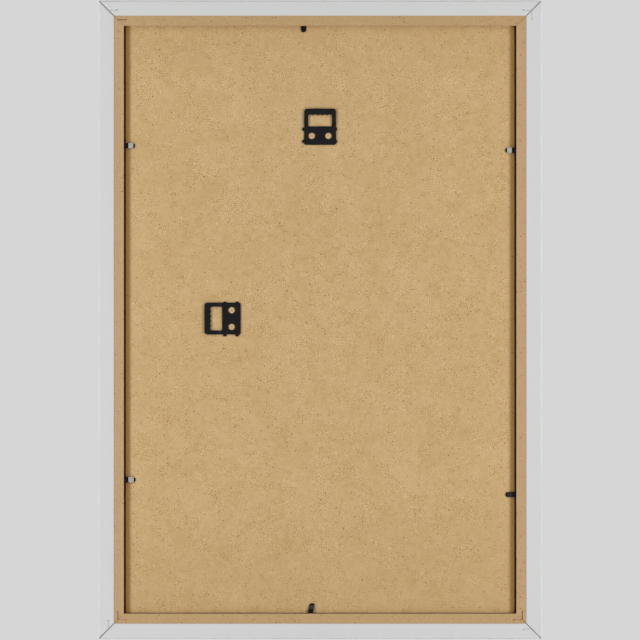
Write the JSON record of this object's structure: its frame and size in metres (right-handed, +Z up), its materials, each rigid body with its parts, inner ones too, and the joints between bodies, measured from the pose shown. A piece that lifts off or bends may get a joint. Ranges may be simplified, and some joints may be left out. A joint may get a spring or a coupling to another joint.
{
  "type": "picture frame",
  "caption": "Mitred fibreboard picture frame in white foil, glazed, with a back panel held by bendable points and pressed hangers to hang it upright or on its side.",
  "frame": {"origin": "the point on the wall where the hanging nail goes in, behind the middle notch of the portrait hanger", "axes": "+Z up with the frame upright, +Y into the wall (the back of the frame), -Y towards the viewer, +X to the viewer's right from the front"},
  "size_m": [0.453, 0.018, 0.653],
  "materials": {
    "rail_board": "raw sawn fibreboard, matte",
    "panel_board": "raw thin fibreboard, matte",
    "white_foil": "satin wrapped foil",
    "clear_glass": "clear float glass",
    "white_paper": "matte",
    "black_steel": "black satin",
    "nail_steel": "plain bright strip"
  },
  "bodies": {
    "frame": {"top_rail": "rail_board", "bottom_rail": "rail_board", "left_rail": "rail_board", "right_rail": "rail_board", "top_rail_foil": "white_foil", "bottom_rail_foil": "white_foil", "left_rail_foil": "white_foil", "right_rail_foil": "white_foil", "glass_pane": "clear_glass", "insert_sheet": "white_paper", "back_panel": "panel_board", "portrait_hanger": "black_steel", "landscape_hanger": "black_steel", "shank_right_upper": "black_steel", "shank_right_lower": "black_steel", "shank_left_upper": "black_steel", "shank_left_lower": "black_steel", "shank_top": "black_steel", "shank_bottom": "black_steel", "nail_top_left_outer": "nail_steel", "nail_top_left_inner": "nail_steel", "nail_top_right_outer": "nail_steel", "nail_top_right_inner": "nail_steel", "nail_bottom_left_outer": "nail_steel", "nail_bottom_left_inner": "nail_steel", "nail_bottom_right_outer": "nail_steel", "nail_bottom_right_inner": "nail_steel"},
    "right_upper_point": {"point_right_upper": "black_steel"},
    "right_lower_point": {"point_right_lower": "black_steel"},
    "left_upper_point": {"point_left_upper": "black_steel"},
    "left_lower_point": {"point_left_lower": "black_steel"},
    "top_point": {"point_top": "black_steel"},
    "bottom_point": {"point_bottom": "black_steel"}
  },
  "joints": [
    {"name": "right_upper_bend", "type": "hinge", "parent": "frame", "child": "right_upper_point", "pos_m": [0.20055, -0.00352, -0.032], "axis": [0, 0, -1], "range_deg": [0, 90]},
    {"name": "right_lower_bend", "type": "hinge", "parent": "frame", "child": "right_lower_point", "pos_m": [0.20055, -0.0032, -0.3742], "axis": [0, 0, -1], "range_deg": [0, 90]},
    {"name": "left_upper_bend", "type": "hinge", "parent": "frame", "child": "left_upper_point", "pos_m": [-0.20055, -0.00352, -0.0367], "axis": [0, 0, 1], "range_deg": [0, 90]},
    {"name": "left_lower_bend", "type": "hinge", "parent": "frame", "child": "left_lower_point", "pos_m": [-0.20055, -0.00514, -0.3894], "axis": [0, 0, 1], "range_deg": [0, 90]},
    {"name": "top_bend", "type": "hinge", "parent": "frame", "child": "top_point", "pos_m": [0.017, -0.00609, 0.09025], "axis": [1, 0, 0], "range_deg": [0, 90]},
    {"name": "bottom_bend", "type": "hinge", "parent": "frame", "child": "bottom_point", "pos_m": [0.01, -0.00507, -0.51085], "axis": [-1, 0, 0], "range_deg": [0, 90]}
  ]
}
